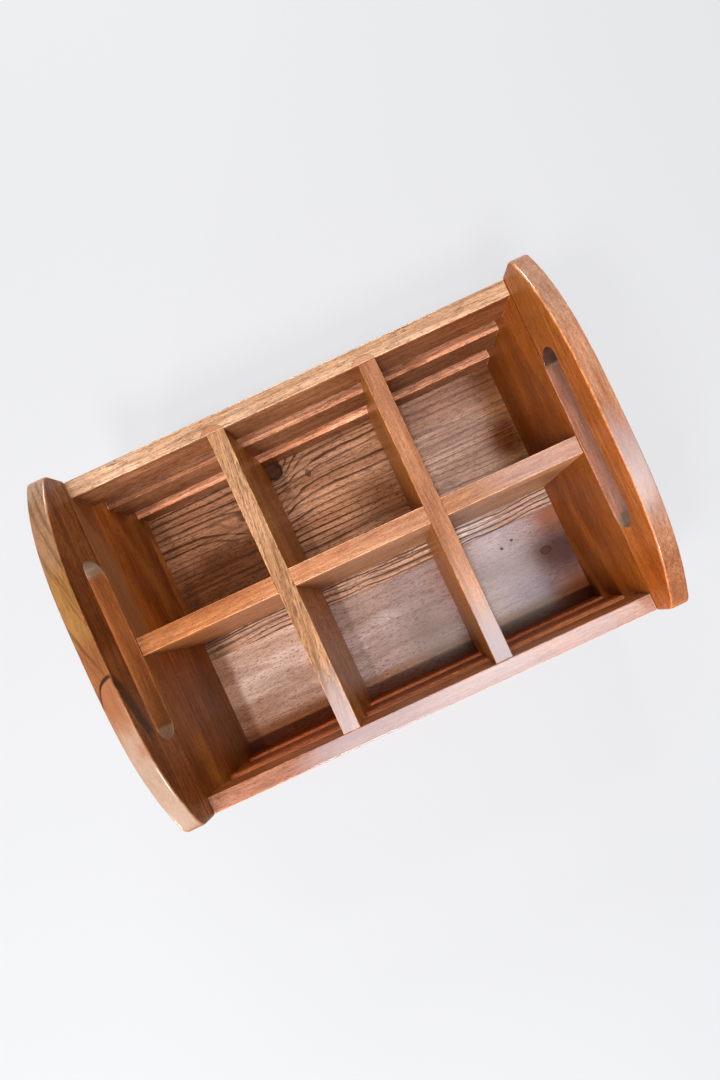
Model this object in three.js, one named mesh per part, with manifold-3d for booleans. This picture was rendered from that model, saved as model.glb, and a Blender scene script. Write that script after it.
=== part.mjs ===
// Glassware caddy: an open-slatted box of solid wood with six cells and an arched handle board at each end.
// Millimetres, +Z up. X runs from the left end to the right end, Y from the front wall to the back wall.
// The origin is the centre of the underside.
import * as THREE from "three";
import { mergeVertices } from "three/addons/utils/BufferGeometryUtils.js";
import Module from "manifold-3d";

const wasm = await Module();
wasm.setup();

// Driving dimensions of the box
const INSIDE_LENGTH = 300; // between the two end boards
const OUTSIDE_WIDTH = 226; // of each end board, and across the two slatted walls
const END_THICKNESS = 11.5; // of the end boards and the handle boards
const END_RISE = 1.5; // of the end boards above the slatted walls
const SLAT_THICKNESS = 11;
const SLAT_HEIGHT = 24;
const SLAT_GAP = 15; // open air between two slats
const CROSS_DIVIDER_THICKNESS = 11.5;
const LONG_DIVIDER_THICKNESS = 11.8;
const HOUSING_STOP = 8; // solid wood above each housing, so that the dividers look butted from above

// Driving dimensions of the floor
const FLOOR_THICKNESS = 10;
const FLOOR_SEAM_OFFSET = 21; // of the seam between the two floor boards, in front of the centre line
const FLOOR_TONGUE_THICKNESS = 3;
const FLOOR_GROOVE_DEPTH = 4; // in the walls, for the tongues

// Driving dimensions of the handle boards
const SHOULDER_HEIGHT = 16; // straight sides, above the end boards
const ARCH_RISE = 22.5; // of the crown above the shoulders
const SHOULDER_RADIUS = 4;
const HAND_SLOT_LENGTH = 117;
const HAND_SLOT_HEIGHT = 19.5;
const HAND_SLOT_SKIM = 0.5; // depth to which the slot cuts into the top of the end board

// Driving dimensions of the dowels, the eased edges and the fits
const DOWEL_DIAMETER = 6;
const DOWEL_CHAMFER = 0.6;
const SLAT_DOWEL_IN_END = 6.5;
const SLAT_DOWEL_IN_SLAT = 13.5;
const HANDLE_DOWEL_REACH = 12; // into each of its two boards
const BOARD_EASE = 0.8;
const SLAT_EASE = 1;
const DIVIDER_EASE = 0.8;
const FIT = 0.3; // clearance in every housing, groove, lap joint and dowel hole
const OVERRUN = 2; // of a cutter past the face that it opens

// Facets
const ARCH_FACETS = 28; // in the whole arch
const SLOT_FACETS = 16; // in each round end of the hand slot
const DIVIDER_FACETS = 12; // in each round tongue of a divider
const DOWEL_FACETS = 6; // in half the girth of a dowel
const SLAT_EASE_FACETS = 2;

// Sizes that follow
const LEVELS = ["bottom", "middle", "top"];
const SLAT_PITCH = SLAT_HEIGHT + SLAT_GAP;
const WALL_HEIGHT = SLAT_PITCH * (LEVELS.length - 1) + SLAT_HEIGHT;
const END_HEIGHT = WALL_HEIGHT + END_RISE;
const HALF_LENGTH = INSIDE_LENGTH / 2;
const HALF_OUTSIDE = OUTSIDE_WIDTH / 2;
const HALF_INSIDE = HALF_OUTSIDE - SLAT_THICKNESS;
const SLAT_Y = HALF_OUTSIDE - SLAT_THICKNESS / 2;
const DIVIDER_HEIGHT = WALL_HEIGHT - FLOOR_THICKNESS;
const DIVIDER_TONGUE_HEIGHT = DIVIDER_HEIGHT - HOUSING_STOP;
const LAP_Z = FLOOR_THICKNESS + DIVIDER_HEIGHT / 2;
const CELL_LENGTH = (INSIDE_LENGTH - 2 * CROSS_DIVIDER_THICKNESS) / 3;
const CROSS_DIVIDER_X = (CELL_LENGTH + CROSS_DIVIDER_THICKNESS) / 2;
const FLOOR_SEAM_Y = -FLOOR_SEAM_OFFSET;
const TONGUE_Z = (FLOOR_THICKNESS - FLOOR_TONGUE_THICKNESS) / 2;
const TONGUE_TOP = TONGUE_Z + FLOOR_TONGUE_THICKNESS;
const TONGUE_REACH = FLOOR_GROOVE_DEPTH - FIT;
const HAND_SLOT_Z = END_HEIGHT - HAND_SLOT_SKIM + HAND_SLOT_HEIGHT / 2;
const BORE_RADIUS = DOWEL_DIAMETER / 2 + FIT;
const SLAT_DOWEL_LENGTH = SLAT_DOWEL_IN_END + SLAT_DOWEL_IN_SLAT;
const SLAT_DOWEL_X = HALF_LENGTH + SLAT_DOWEL_IN_END - SLAT_DOWEL_LENGTH / 2;
const HANDLE_DOWEL_Y = (HALF_OUTSIDE + HAND_SLOT_LENGTH / 2) / 2;

// The two ends and the two long sides, each with the way it faces
const ENDS = [
  ["left", -1],
  ["right", 1],
];
const SIDES = [
  ["front", -1],
  ["back", 1],
];

// Wood finishes, one for each kind of piece
const finish = (color, roughness) => new THREE.MeshStandardMaterial({ color, roughness, metalness: 0 });
const END_WOOD = finish(0x8a4d24, 0.45);
const HANDLE_WOOD = finish(0xa8622e, 0.4);
const SLAT_WOOD = finish(0xb98252, 0.5);
const CROSS_DIVIDER_WOOD = finish(0xc08e60, 0.5);
const LONG_DIVIDER_WOOD = finish(0xbd7440, 0.45);
const FLOOR_WOOD = finish(0x8c6246, 0.5);
const DOWEL_WOOD = finish(0xd8b98c, 0.7);

// Joining and cutting

function solidOf(geometry) {
  const bare = geometry.clone();
  bare.deleteAttribute("normal");
  bare.deleteAttribute("uv");
  const merged = mergeVertices(bare);
  const mesh = new wasm.Mesh({
    numProp: 3,
    vertProperties: merged.attributes.position.array,
    triVerts: new Uint32Array(merged.index.array),
  });
  return new wasm.Manifold(mesh);
}

function geometryOf(solid) {
  const { vertProperties, triVerts } = solid.getMesh();
  const indexed = new THREE.BufferGeometry();
  indexed.setAttribute("position", new THREE.BufferAttribute(vertProperties, 3));
  indexed.setIndex(new THREE.BufferAttribute(triVerts, 1));
  const faceted = indexed.toNonIndexed();
  faceted.computeVertexNormals();
  return faceted;
}

function cut(geometry, cutters) {
  const rest = cutters.reduce((solid, cutter) => solid.subtract(solidOf(cutter)), solidOf(geometry));
  return geometryOf(rest);
}

function join(geometries) {
  const [first, ...others] = geometries.map(solidOf);
  return geometryOf(others.reduce((whole, other) => whole.add(other), first));
}

// Plain shapes

// A box between its lowest and its highest corner
function block(low, high) {
  const size = high.map((value, axis) => value - low[axis]);
  const centre = low.map((value, axis) => value + size[axis] / 2);
  return new THREE.BoxGeometry(...size).translate(...centre);
}

// A round bar that stands on the origin
function bar(radius, length, halfFacets) {
  return new THREE.CylinderGeometry(radius, radius, length, 2 * halfFacets)
    .rotateX(Math.PI / 2)
    .translate(0, 0, length / 2);
}

// An arc is drawn with two facets for each of its segments
const segmentsFor = (facets) => facets / 2;

// A long outline with half-round ends, centred, along the first axis of its drawing plane
function roundEnded(length, width) {
  const radius = width / 2;
  const centre = length / 2 - radius;
  const outline = new THREE.Shape();
  outline.absarc(centre, 0, radius, -Math.PI / 2, Math.PI / 2, false);
  outline.absarc(-centre, 0, radius, Math.PI / 2, 1.5 * Math.PI, false);
  return outline;
}

// A slab of an outline that stands on its drawing plane, with the arrises of both faces eased
function easedSlab(outline, thickness, ease, facets) {
  const slab = new THREE.ExtrudeGeometry(outline, {
    depth: thickness - 2 * ease,
    bevelThickness: ease,
    bevelSize: ease,
    bevelOffset: -ease,
    bevelSegments: 1,
    curveSegments: segmentsFor(facets),
  });
  return slab.translate(0, 0, ease);
}

// Stands a drawing plane upright: its first axis becomes Y, its second Z, and its depth X
const UPRIGHT = new THREE.Matrix4().makeBasis(
  new THREE.Vector3(0, 1, 0),
  new THREE.Vector3(0, 0, 1),
  new THREE.Vector3(1, 0, 0),
);

function piece(name, geometry, material) {
  const mesh = new THREE.Mesh(geometry, material);
  mesh.name = name;
  return mesh;
}

// Ends of the box
// Their pieces are drawn for the left end: X = 0 is the inner face, and the box lies on the +X side.

// The hand slot is routed through both boards of an end after they are glued, and its mouths are eased
function handSlotCutters() {
  const outline = roundEnded(HAND_SLOT_LENGTH, HAND_SLOT_HEIGHT);
  const through = new THREE.ExtrudeGeometry(outline, {
    depth: END_THICKNESS + 2 * OVERRUN,
    bevelEnabled: false,
    curveSegments: segmentsFor(SLOT_FACETS),
  });
  const innerMouth = new THREE.ExtrudeGeometry(outline, {
    depth: OVERRUN,
    bevelThickness: BOARD_EASE,
    bevelSize: BOARD_EASE,
    bevelSegments: 1,
    curveSegments: segmentsFor(SLOT_FACETS),
  });
  const outerMouth = innerMouth.clone();
  through.translate(0, 0, -END_THICKNESS - OVERRUN);
  outerMouth.translate(0, 0, -END_THICKNESS - OVERRUN);
  return [through, innerMouth, outerMouth].map((cutter) =>
    cutter.applyMatrix4(UPRIGHT).translate(0, 0, HAND_SLOT_Z),
  );
}

// Each of these bores runs across the glue line, half in each board
function handleDowelBores() {
  const depth = HANDLE_DOWEL_REACH + FIT;
  return SIDES.map(([, side]) =>
    bar(BORE_RADIUS, 2 * depth, DOWEL_FACETS).translate(
      -END_THICKNESS / 2,
      side * HANDLE_DOWEL_Y,
      END_HEIGHT - depth,
    ),
  );
}

function slatDowelBores() {
  const depth = SLAT_DOWEL_IN_END + FIT;
  return SIDES.flatMap(([, side]) =>
    LEVELS.map((level, row) =>
      bar(BORE_RADIUS, depth + OVERRUN, DOWEL_FACETS)
        .rotateY(Math.PI / 2)
        .translate(-depth, side * SLAT_Y, row * SLAT_PITCH + SLAT_HEIGHT / 2),
    ),
  );
}

// End board: with a stopped housing for the long divider, and grooved for the floor
function endBoard(end) {
  const outline = new THREE.Shape();
  outline.moveTo(-HALF_OUTSIDE, 0);
  outline.lineTo(HALF_OUTSIDE, 0);
  outline.lineTo(HALF_OUTSIDE, END_HEIGHT);
  outline.lineTo(-HALF_OUTSIDE, END_HEIGHT);
  const board = easedSlab(outline, END_THICKNESS, BOARD_EASE, ARCH_FACETS)
    .applyMatrix4(UPRIGHT)
    .translate(-END_THICKNESS, 0, 0);
  const housing = bar(LONG_DIVIDER_THICKNESS / 2 + FIT, DIVIDER_TONGUE_HEIGHT + 2 * FIT, DIVIDER_FACETS);
  housing.translate(0, 0, FLOOR_THICKNESS - FIT);
  const floorGroove = block(
    [-FLOOR_GROOVE_DEPTH, -HALF_INSIDE, TONGUE_Z],
    [OVERRUN, HALF_INSIDE, TONGUE_TOP + FIT],
  );
  const cutters = [housing, floorGroove, ...slatDowelBores(), ...handleDowelBores(), ...handSlotCutters()];
  return piece(`${end}_end_board`, cut(board, cutters), END_WOOD);
}

// Handle board: straight shoulders under an arch that is flat in the middle and falls off with the cube
function handleBoard(end) {
  const shoulder = END_HEIGHT + SHOULDER_HEIGHT;
  const crown = shoulder + ARCH_RISE;
  const reach = HALF_OUTSIDE - SHOULDER_RADIUS;
  const third = reach / 3;
  const haunch = crown - ARCH_RISE * (reach / HALF_OUTSIDE) ** 3;
  const outline = new THREE.Shape();
  outline.moveTo(-HALF_OUTSIDE, END_HEIGHT);
  outline.lineTo(HALF_OUTSIDE, END_HEIGHT);
  outline.lineTo(HALF_OUTSIDE, shoulder - SHOULDER_RADIUS);
  outline.quadraticCurveTo(HALF_OUTSIDE, shoulder, reach, haunch);
  outline.bezierCurveTo(2 * third, crown, third, crown, 0, crown);
  outline.bezierCurveTo(-third, crown, -2 * third, crown, -reach, haunch);
  outline.quadraticCurveTo(-HALF_OUTSIDE, shoulder, -HALF_OUTSIDE, shoulder - SHOULDER_RADIUS);
  const board = easedSlab(outline, END_THICKNESS, BOARD_EASE, ARCH_FACETS)
    .applyMatrix4(UPRIGHT)
    .translate(-END_THICKNESS, 0, 0);
  return piece(`${end}_handle_board`, cut(board, [...handleDowelBores(), ...handSlotCutters()]), HANDLE_WOOD);
}

function boxEnd(end, facing) {
  const group = new THREE.Group();
  group.add(endBoard(end), handleBoard(end));
  group.rotation.z = facing > 0 ? Math.PI : 0;
  group.position.x = facing * HALF_LENGTH;
  return group;
}

// Slatted walls
// A slat is drawn for the back wall, centred in length and thickness, with its inner face on the -Y side.

function slat(name, level) {
  const flatY = SLAT_THICKNESS / 2 - SLAT_EASE;
  const flatTop = SLAT_HEIGHT - SLAT_EASE;
  const section = new THREE.Shape();
  section.absarc(flatY, SLAT_EASE, SLAT_EASE, -Math.PI / 2, 0, false);
  section.absarc(flatY, flatTop, SLAT_EASE, 0, Math.PI / 2, false);
  section.absarc(-flatY, flatTop, SLAT_EASE, Math.PI / 2, Math.PI, false);
  section.absarc(-flatY, SLAT_EASE, SLAT_EASE, Math.PI, 1.5 * Math.PI, false);
  const plain = new THREE.ExtrudeGeometry(section, {
    depth: INSIDE_LENGTH,
    bevelEnabled: false,
    curveSegments: segmentsFor(SLAT_EASE_FACETS),
  })
    .applyMatrix4(UPRIGHT)
    .translate(-HALF_LENGTH, 0, 0);

  const innerY = -SLAT_THICKNESS / 2;
  const housingFoot = level === "bottom" ? FLOOR_THICKNESS - FIT : -OVERRUN;
  const housingTop = level === "top" ? SLAT_HEIGHT - HOUSING_STOP + FIT : SLAT_HEIGHT + OVERRUN;
  const housings = [-CROSS_DIVIDER_X, CROSS_DIVIDER_X].map((x) =>
    bar(CROSS_DIVIDER_THICKNESS / 2 + FIT, housingTop - housingFoot, DIVIDER_FACETS).translate(
      x,
      innerY,
      housingFoot,
    ),
  );
  const boreDepth = SLAT_DOWEL_IN_SLAT + FIT;
  const bores = ENDS.map(([, facing]) =>
    bar(BORE_RADIUS, boreDepth + OVERRUN, DOWEL_FACETS)
      .rotateY((-facing * Math.PI) / 2)
      .translate(facing * (HALF_LENGTH + OVERRUN), 0, SLAT_HEIGHT / 2),
  );
  const floorGroove = block(
    [-HALF_LENGTH - OVERRUN, innerY - OVERRUN, TONGUE_Z],
    [HALF_LENGTH + OVERRUN, innerY + FLOOR_GROOVE_DEPTH, TONGUE_TOP + FIT],
  );
  const cutters = [...housings, ...bores, ...(level === "bottom" ? [floorGroove] : [])];
  return piece(name, cut(plain, cutters), SLAT_WOOD);
}

function slattedWall(side, facing) {
  const group = new THREE.Group();
  LEVELS.forEach((level, row) => {
    const board = slat(`${side}_${level}_slat`, level);
    board.position.z = row * SLAT_PITCH;
    group.add(board);
  });
  group.rotation.z = facing > 0 ? 0 : Math.PI;
  group.position.y = facing * SLAT_Y;
  return group;
}

// Dividers
// Their round tongues stand in the stopped housings of the walls. The cross dividers lap over the long one.

function tonguedBoard(span, thickness) {
  const halfSpan = span / 2 - FIT;
  const halfThickness = thickness / 2;
  const outline = new THREE.Shape();
  outline.moveTo(-halfSpan, -halfThickness);
  outline.lineTo(halfSpan, -halfThickness);
  outline.lineTo(halfSpan, halfThickness);
  outline.lineTo(-halfSpan, halfThickness);
  const board = easedSlab(outline, DIVIDER_HEIGHT, DIVIDER_EASE, DIVIDER_FACETS);
  const tongueOutline = roundEnded(span + thickness, thickness);
  const tongues = easedSlab(tongueOutline, DIVIDER_TONGUE_HEIGHT, DIVIDER_EASE, DIVIDER_FACETS);
  return join([board, tongues]);
}

function crossDivider(end, facing) {
  const board = tonguedBoard(2 * HALF_INSIDE, CROSS_DIVIDER_THICKNESS).rotateZ(Math.PI / 2);
  const halfNotch = LONG_DIVIDER_THICKNESS / 2 + FIT;
  const lap = block(
    [-CROSS_DIVIDER_THICKNESS, -halfNotch, -OVERRUN],
    [CROSS_DIVIDER_THICKNESS, halfNotch, LAP_Z - FLOOR_THICKNESS],
  );
  const mesh = piece(`${end}_cross_divider`, cut(board, [lap]), CROSS_DIVIDER_WOOD);
  mesh.position.set(facing * CROSS_DIVIDER_X, 0, FLOOR_THICKNESS);
  return mesh;
}

function longDivider() {
  const board = tonguedBoard(INSIDE_LENGTH, LONG_DIVIDER_THICKNESS);
  const halfNotch = CROSS_DIVIDER_THICKNESS / 2 + FIT;
  const laps = [-CROSS_DIVIDER_X, CROSS_DIVIDER_X].map((x) =>
    block(
      [x - halfNotch, -LONG_DIVIDER_THICKNESS, LAP_Z - FLOOR_THICKNESS - FIT],
      [x + halfNotch, LONG_DIVIDER_THICKNESS, DIVIDER_HEIGHT + OVERRUN],
    ),
  );
  const mesh = piece("long_divider", cut(board, laps), LONG_DIVIDER_WOOD);
  mesh.position.z = FLOOR_THICKNESS;
  return mesh;
}

// Floor boards, tongued into the end boards and into the bottom slat beside them
function floorBoard(side, facing) {
  const bodyX = HALF_LENGTH - FIT;
  const wallY = HALF_INSIDE - FIT;
  const [lowY, highY] = facing > 0 ? [FLOOR_SEAM_Y, wallY] : [-wallY, FLOOR_SEAM_Y];
  const tongueX = HALF_LENGTH + TONGUE_REACH;
  const tongueY = HALF_INSIDE + TONGUE_REACH;
  const [lowTongueY, highTongueY] = facing > 0 ? [FLOOR_SEAM_Y, tongueY] : [-tongueY, FLOOR_SEAM_Y];
  const body = block([-bodyX, lowY, 0], [bodyX, highY, FLOOR_THICKNESS]);
  const endTongues = block([-tongueX, lowY, TONGUE_Z], [tongueX, highY, TONGUE_TOP]);
  const wallTongue = block([-bodyX, lowTongueY, TONGUE_Z], [bodyX, highTongueY, TONGUE_TOP]);
  return piece(`${side}_floor_board`, join([body, endTongues, wallTongue]), FLOOR_WOOD);
}

// Dowels, hidden in their bores

function dowel(name, length) {
  const girth = roundEnded(DOWEL_DIAMETER, DOWEL_DIAMETER);
  const peg = easedSlab(girth, length, DOWEL_CHAMFER, DOWEL_FACETS);
  return piece(name, peg.translate(0, 0, -length / 2), DOWEL_WOOD);
}

function slatDowels(end, endFacing) {
  return SIDES.flatMap(([side, sideFacing]) =>
    LEVELS.map((level, row) => {
      const peg = dowel(`${end}_${side}_${level}_dowel`, SLAT_DOWEL_LENGTH);
      peg.rotation.y = Math.PI / 2;
      peg.position.set(
        endFacing * SLAT_DOWEL_X,
        sideFacing * SLAT_Y,
        row * SLAT_PITCH + SLAT_HEIGHT / 2,
      );
      return peg;
    }),
  );
}

function handleDowels(end, endFacing) {
  return SIDES.map(([side, sideFacing]) => {
    const peg = dowel(`${end}_${side}_handle_dowel`, 2 * HANDLE_DOWEL_REACH);
    peg.position.set(
      endFacing * (HALF_LENGTH + END_THICKNESS / 2),
      sideFacing * HANDLE_DOWEL_Y,
      END_HEIGHT,
    );
    return peg;
  });
}

// The assembly
const caddy = new THREE.Group();
caddy.name = "glassware_caddy";
for (const [end, facing] of ENDS) {
  caddy.add(boxEnd(end, facing), crossDivider(end, facing));
  caddy.add(...slatDowels(end, facing), ...handleDowels(end, facing));
}
for (const [side, facing] of SIDES) {
  caddy.add(slattedWall(side, facing), floorBoard(side, facing));
}
caddy.add(longDivider());

export default caddy;
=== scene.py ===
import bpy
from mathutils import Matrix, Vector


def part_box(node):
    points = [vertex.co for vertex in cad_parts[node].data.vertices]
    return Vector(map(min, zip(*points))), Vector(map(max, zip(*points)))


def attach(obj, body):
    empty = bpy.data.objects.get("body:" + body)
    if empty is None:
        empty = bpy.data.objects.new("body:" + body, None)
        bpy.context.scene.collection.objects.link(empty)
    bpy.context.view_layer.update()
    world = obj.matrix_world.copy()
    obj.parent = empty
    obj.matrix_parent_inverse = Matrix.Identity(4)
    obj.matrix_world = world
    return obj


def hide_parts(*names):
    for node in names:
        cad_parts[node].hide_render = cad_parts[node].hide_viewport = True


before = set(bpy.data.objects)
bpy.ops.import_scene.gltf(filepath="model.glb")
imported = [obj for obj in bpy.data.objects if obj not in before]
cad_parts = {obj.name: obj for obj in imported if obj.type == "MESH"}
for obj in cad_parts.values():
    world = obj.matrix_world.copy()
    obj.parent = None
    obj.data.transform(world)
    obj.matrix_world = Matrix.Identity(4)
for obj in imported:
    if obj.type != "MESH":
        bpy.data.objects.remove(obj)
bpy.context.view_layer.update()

import math
from dataclasses import dataclass

import bmesh
import bpy
from mathutils import Matrix, Quaternion, Vector

bl_info = {
    "name": "Glassware caddy",
    "version": (1, 0, 0),
    "blender": (4, 5, 0),
    "location": "View3D > Sidebar > Caddy",
    "description": "Models an open-slatted wooden caddy for glasses around its packed solids",
    "category": "Object",
}

MM = 0.001
LEVELS = ("bottom", "middle", "top")
SIDES = ("front", "back")
ENDS = ("left", "right")
X, Y, Z = range(3)
UP = (0, 0, 1)

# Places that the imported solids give, in metres
INNER_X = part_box("back_top_slat")[1].x
INNER_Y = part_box("back_top_slat")[0].y
END_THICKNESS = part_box("right_end_board")[1].x - INNER_X
WALL_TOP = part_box("back_top_slat")[1].z
SEAM_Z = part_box("left_handle_board")[0].z
CROWN_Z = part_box("left_handle_board")[1].z
FLOOR_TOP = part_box("back_floor_board")[1].z
FLOOR_SEAM_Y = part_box("back_floor_board")[0].y
CROSS_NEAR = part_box("right_cross_divider")[0].x
CROSS_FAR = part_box("right_cross_divider")[1].x
CROSS_X = (CROSS_NEAR + CROSS_FAR) / 2
CROSS_HALF = (CROSS_FAR - CROSS_NEAR) / 2
LONG_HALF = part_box("long_divider")[1].y
TONGUE_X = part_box("back_floor_board")[1].x
TONGUE_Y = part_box("back_floor_board")[1].y
DOWEL_LOW, DOWEL_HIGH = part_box("right_back_top_dowel")
DOWEL_RADIUS = (DOWEL_HIGH.z - DOWEL_LOW.z) / 2

# Fineness of the round forms, with the steps round the slot's mouths in degrees
TONGUE_FLATS = 36
BORE_FLATS = 16
SLOT_FLATS = 48
ARCH_COLUMNS = 36
MOUTH_TURNS = (30, 60, 90)

# Turns in radians from which an edge is rounded, or shaded as a corner
SHARP_TURN = 1.0
CORNER_TURN = math.radians(40)

# Where in the log each kind of board was cut, and how far apart two such places lie
CUT_FROM = {"end": 3.1, "handle": 7.3, "slat": 11.7, "cross": 21.3, "long": 25.9, "floor": 31.1,
            "lying_dowel": 41.0, "standing_dowel": 43.0}
LOG_STEP = Vector((0.73, 1.31, 0.57))


# Sizes and colours that a user may change


def length(name, description, millimetres):
    """A length property with its default given in millimetres."""
    return bpy.props.FloatProperty(
        name=name, description=description, default=millimetres * MM, min=0.0, unit="LENGTH"
    )


def tint(name, description, red, green, blue):
    """A colour property with its default given as it looks on a screen, from 0 to 255."""
    default = [to_linear(channel / 255) for channel in (red, green, blue)]
    return bpy.props.FloatVectorProperty(
        name=name, description=description, default=default, size=3, min=0.0, max=1.0, subtype="COLOR"
    )


def to_linear(value):
    return value / 12.92 if value <= 0.04045 else ((value + 0.055) / 1.055) ** 2.4


class CaddySizes(bpy.types.PropertyGroup):
    """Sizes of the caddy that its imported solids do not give."""

    slat_round: length("Slat rounding", "Radius of the long edges of the slats", 0.9)
    arch_round: length("Arch rounding", "Radius of the edges of the handle boards", 1.2)
    board_round: length("Board rounding", "Radius of the outer edges of the end boards", 1.2)
    seam_round: length("Seam rounding", "Radius of the edges that meet at a glued seam", 0.35)
    divider_round: length("Divider rounding", "Radius of the top edges of the dividers", 0.7)
    shoulder_round: length("Shoulder rounding", "Radius of the two shoulders of a handle board", 4.0)
    arch_rise: length("Arch rise", "Height of the crown above the shoulders", 22.5)
    slot_length: length("Hand slot length", "End to end", 117.0)
    slot_height: length("Hand slot height", "From the sill to the top edge", 19.5)
    slot_skim: length("Hand slot skim", "Depth of the slot's sill below the glued seam", 0.5)
    slot_round: length("Hand slot rounding", "Radius of the edges round the hand slot", 0.5)
    joint_gap: length("Joint gap", "Open line round a housed, tongued or doweled joint", 0.03)
    housing_stop: length("Housing stop", "Solid wood above the housing of a divider", 8.0)
    tongue_bottom: length("Tongue underside", "Height of the underside of the floor's tongue", 3.5)
    tongue_top: length("Tongue top", "Height of the top of the floor's tongue", 6.5)


class CaddyColours(bpy.types.PropertyGroup):
    """Colours of the woods and of the stage. A board has a body, a dark grain, and a lit copy of its body for
    the faces that look up, which paints in the sheen and the brighter light on them.
    """

    # Each top and ledge colour below is painted light: the body as it looks lit from above, with its sheen.
    back_slat: tint("Back slats", "Body of the slats of the back wall", 173, 118, 82)
    back_slat_grain: tint("Back slats, grain", "Dark grain of the slats of the back wall", 84, 42, 18)
    back_slat_top: tint("Back slats, top", "Top of the back wall", 198, 159, 129)
    back_ledge: tint("Back ledges", "Faces of the lower back slats that look up", 186, 128, 98)
    front_slat: tint("Front slats", "Body of the slats of the front wall", 201, 133, 86)
    front_slat_grain: tint("Front slats, grain", "Dark grain of the slats of the front wall", 100, 48, 24)
    front_slat_top: tint("Front slats, top", "Top of the front wall", 157, 113, 94)
    front_ledge: tint("Front ledges", "Faces of the lower front slats that look up", 200, 124, 78)
    left_cross: tint("Left cross divider", "Its body", 199, 138, 65)
    left_cross_grain: tint("Left cross divider, grain", "Its dark grain", 80, 44, 22)
    left_cross_top: tint("Left cross divider, top", "Its top", 182, 137, 102)
    right_cross: tint("Right cross divider", "Its body", 163, 98, 35)
    right_cross_grain: tint("Right cross divider, grain", "Its dark grain", 104, 52, 26)
    right_cross_top: tint("Right cross divider, top", "Its top", 152, 101, 72)
    long_divider: tint("Long divider", "Its body", 191, 132, 86)
    long_divider_grain: tint("Long divider, grain", "Its dark grain", 128, 62, 26)
    long_divider_top: tint("Long divider, top", "Its top", 172, 116, 79)
    left_handle: tint("Left handle", "Its body", 165, 101, 51)
    left_handle_grain: tint("Left handle, grain", "Its dark grain", 52, 26, 12)
    left_handle_top: tint("Left handle, top", "Its faces that look up", 173, 128, 96)
    left_handle_grey: tint("Left handle, grey", "Back part of its top", 134, 98, 69)
    left_handle_olive: tint("Left handle, olive", "Middle part of its top", 135, 93, 44)
    left_handle_brown: tint("Left handle, brown", "Top behind the dark vein", 118, 64, 25)
    left_handle_sap: tint("Left handle, sapwood", "Top before the dark vein", 143, 89, 57)
    # Pale wood at the front of the left handle's top, and a painted sheen at both ends of it.
    left_handle_pale_and_sheen: tint("Left handle, pale", "Both ends of its top", 159, 128, 107)
    left_slot_end: tint("Left slot ends", "End grain in the left hand slot", 140, 104, 78)
    right_handle: tint("Right handle", "Its body", 191, 109, 43)
    right_handle_grain: tint("Right handle, grain", "Its dark grain", 140, 66, 24)
    right_handle_top: tint("Right handle, top", "Its faces that look up", 165, 119, 92)
    right_slot_front: tint("Right slot, front", "End grain at the front of the right hand slot", 150, 120, 98)
    # The back end of the right hand slot takes a darker copy of the end grain: painted shade inside the slot.
    right_slot_back_shaded: tint("Right slot, back", "End grain at the back of the right hand slot", 76, 46, 36)
    left_end: tint("Left end board", "Its body", 209, 131, 56)
    left_end_grain: tint("Left end board, grain", "Its dark grain", 72, 34, 16)
    left_end_top: tint("Left end board, top", "Its faces that look up", 160, 92, 46)
    # A band of painted light along the top of the left end board.
    left_end_light_band: tint("Left end board, grey", "Greyer wood along its top", 158, 118, 88)
    right_end: tint("Right end board", "Its body", 151, 80, 22)
    right_end_grain: tint("Right end board, grain", "Its dark grain", 92, 42, 16)
    right_end_top: tint("Right end board, top", "Its faces that look up", 152, 104, 86)
    back_floor: tint("Back floor board", "Its body", 178, 122, 82)
    back_floor_grain: tint("Back floor board, grain", "Its dark grain", 54, 27, 12)
    back_floor_top: tint("Back floor board, top", "Its top", 186, 146, 122)
    front_floor: tint("Front floor board", "Its body", 178, 138, 112)
    front_floor_grain: tint("Front floor board, grain", "Its dark grain", 104, 68, 48)
    front_floor_top: tint("Front floor board, top", "Its top", 157, 137, 138)
    floor_plum: tint("Front floor board, plum", "Darker wood at its right", 128, 74, 46)
    floor_dark: tint("Front floor board, dark", "Dark patch by the right end board", 66, 41, 39)
    dowel: tint("Dowels", "Body of the bare dowels", 206, 176, 130)
    dowel_grain: tint("Dowels, grain", "Dark grain of the bare dowels", 150, 112, 72)
    dowel_top: tint("Dowels, top", "Faces that look up of the bare dowels", 207, 177, 132)
    filler: tint("Filler", "Reddish filler at the housed ends of the dividers", 150, 90, 58)
    filler_pale: tint("Filler, pale", "Pale specks of the filler", 176, 126, 92)
    # Painted sheen: a pale bluish tint that stands in for the reflection of the light on the tops.
    painted_sheen: tint("Wax", "Pale bloom of the wax where it lies thickest", 168, 157, 162)
    knot: tint("Knots", "Reddish heart of a knot", 76, 46, 33)
    glue: tint("Glue", "Dried glue at the ends of the slats", 190, 146, 108)
    backdrop: tint("Backdrop", "The pale floor that the caddy stands on", 240, 241, 244)


# Modelling by hand


def sizes():
    return bpy.context.scene.caddy_sizes


def colours():
    return bpy.context.scene.caddy_colours


def deselect():
    if bpy.context.mode != "OBJECT":
        bpy.ops.object.mode_set(mode="OBJECT")
    bpy.ops.object.select_all(action="DESELECT")


def pick(piece):
    """Makes a piece the only selected object and the active one."""
    deselect()
    piece.select_set(True)
    bpy.context.view_layer.objects.active = piece


def settle(name):
    """Names the active object and moves its place into its mesh."""
    piece = bpy.context.active_object
    piece.name = name
    piece.data.name = name
    bpy.ops.object.transform_apply(location=True, rotation=True, scale=True)
    return piece


def block(name, low, high):
    """A plain block between its lowest and its highest corner."""
    deselect()
    low, high = Vector(low), Vector(high)
    bpy.ops.mesh.primitive_cube_add(size=1.0, location=(low + high) / 2, scale=high - low)
    return settle(name)


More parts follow.
